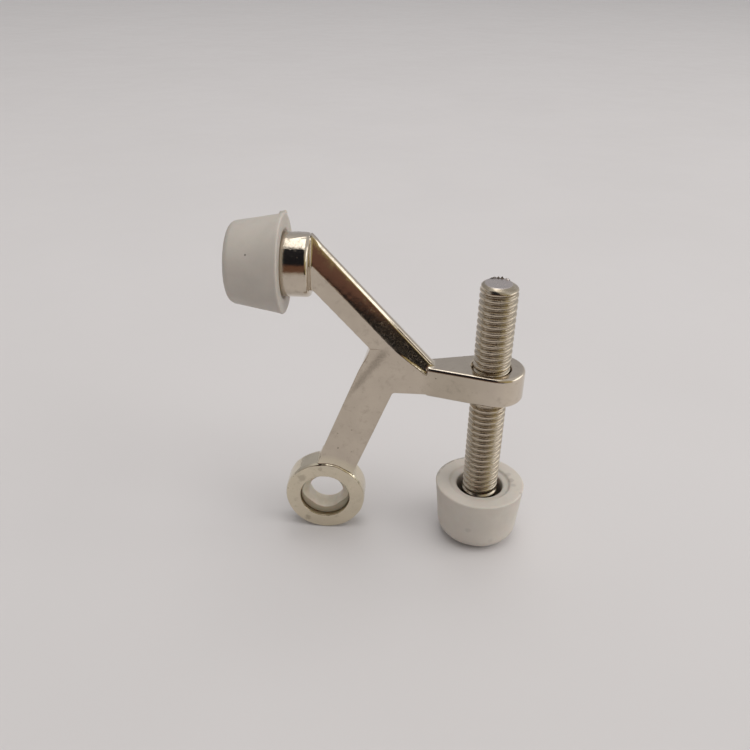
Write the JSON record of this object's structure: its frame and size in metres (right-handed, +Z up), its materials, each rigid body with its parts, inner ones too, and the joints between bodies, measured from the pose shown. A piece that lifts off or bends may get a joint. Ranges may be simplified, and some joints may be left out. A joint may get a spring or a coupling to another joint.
{
  "type": "hinge pin door stop",
  "caption": "Door stop that hangs on a hinge pin: a forked cast body with a pin eye, a rubber bumper on one arm and a rubber-tipped adjusting screw through the other.",
  "frame": {"origin": "centre of the hinge-pin eye: on the pin bore's axis, midway between the eye's two faces", "axes": "+Z up along the adjusting screw, +X from the eye towards the screw, +Y along the hinge pin to the back; the body is symmetric about y = 0, and the part stands on its eye and its screw tip at z = -9.1 mm"},
  "size_m": [0.0636, 0.02, 0.0749],
  "materials": {
    "nickel_casting": "bright warm nickel plate over a zinc die casting",
    "nickel_screw": "bright nickel plate on steel thread",
    "bush_plastic": "natural nylon, satin",
    "white_rubber": "off-white rubber, matt"
  },
  "bodies": {
    "body": {"cast_body": "nickel_casting", "eye_bush": "bush_plastic", "bumper": "white_rubber"},
    "tip": {"screw_tip": "white_rubber"},
    "screw": {"adjusting_screw": "nickel_screw"}
  },
  "joints": [
    {"name": "tip_travel", "type": "slide", "parent": "body", "child": "tip", "axis": [0, 0, 1], "range_m": [-0.0186, 0.0231]},
    {"name": "screw_turn", "type": "hinge", "parent": "tip", "child": "screw", "pos_m": [0.03545, 0, 0], "axis": [0, 0, 1], "range_deg": [-4720, 5868]}
  ],
  "couplings": [
    {"joint": "tip_travel", "follows": "screw_turn", "m_per_rad": 0.00022457}
  ]
}
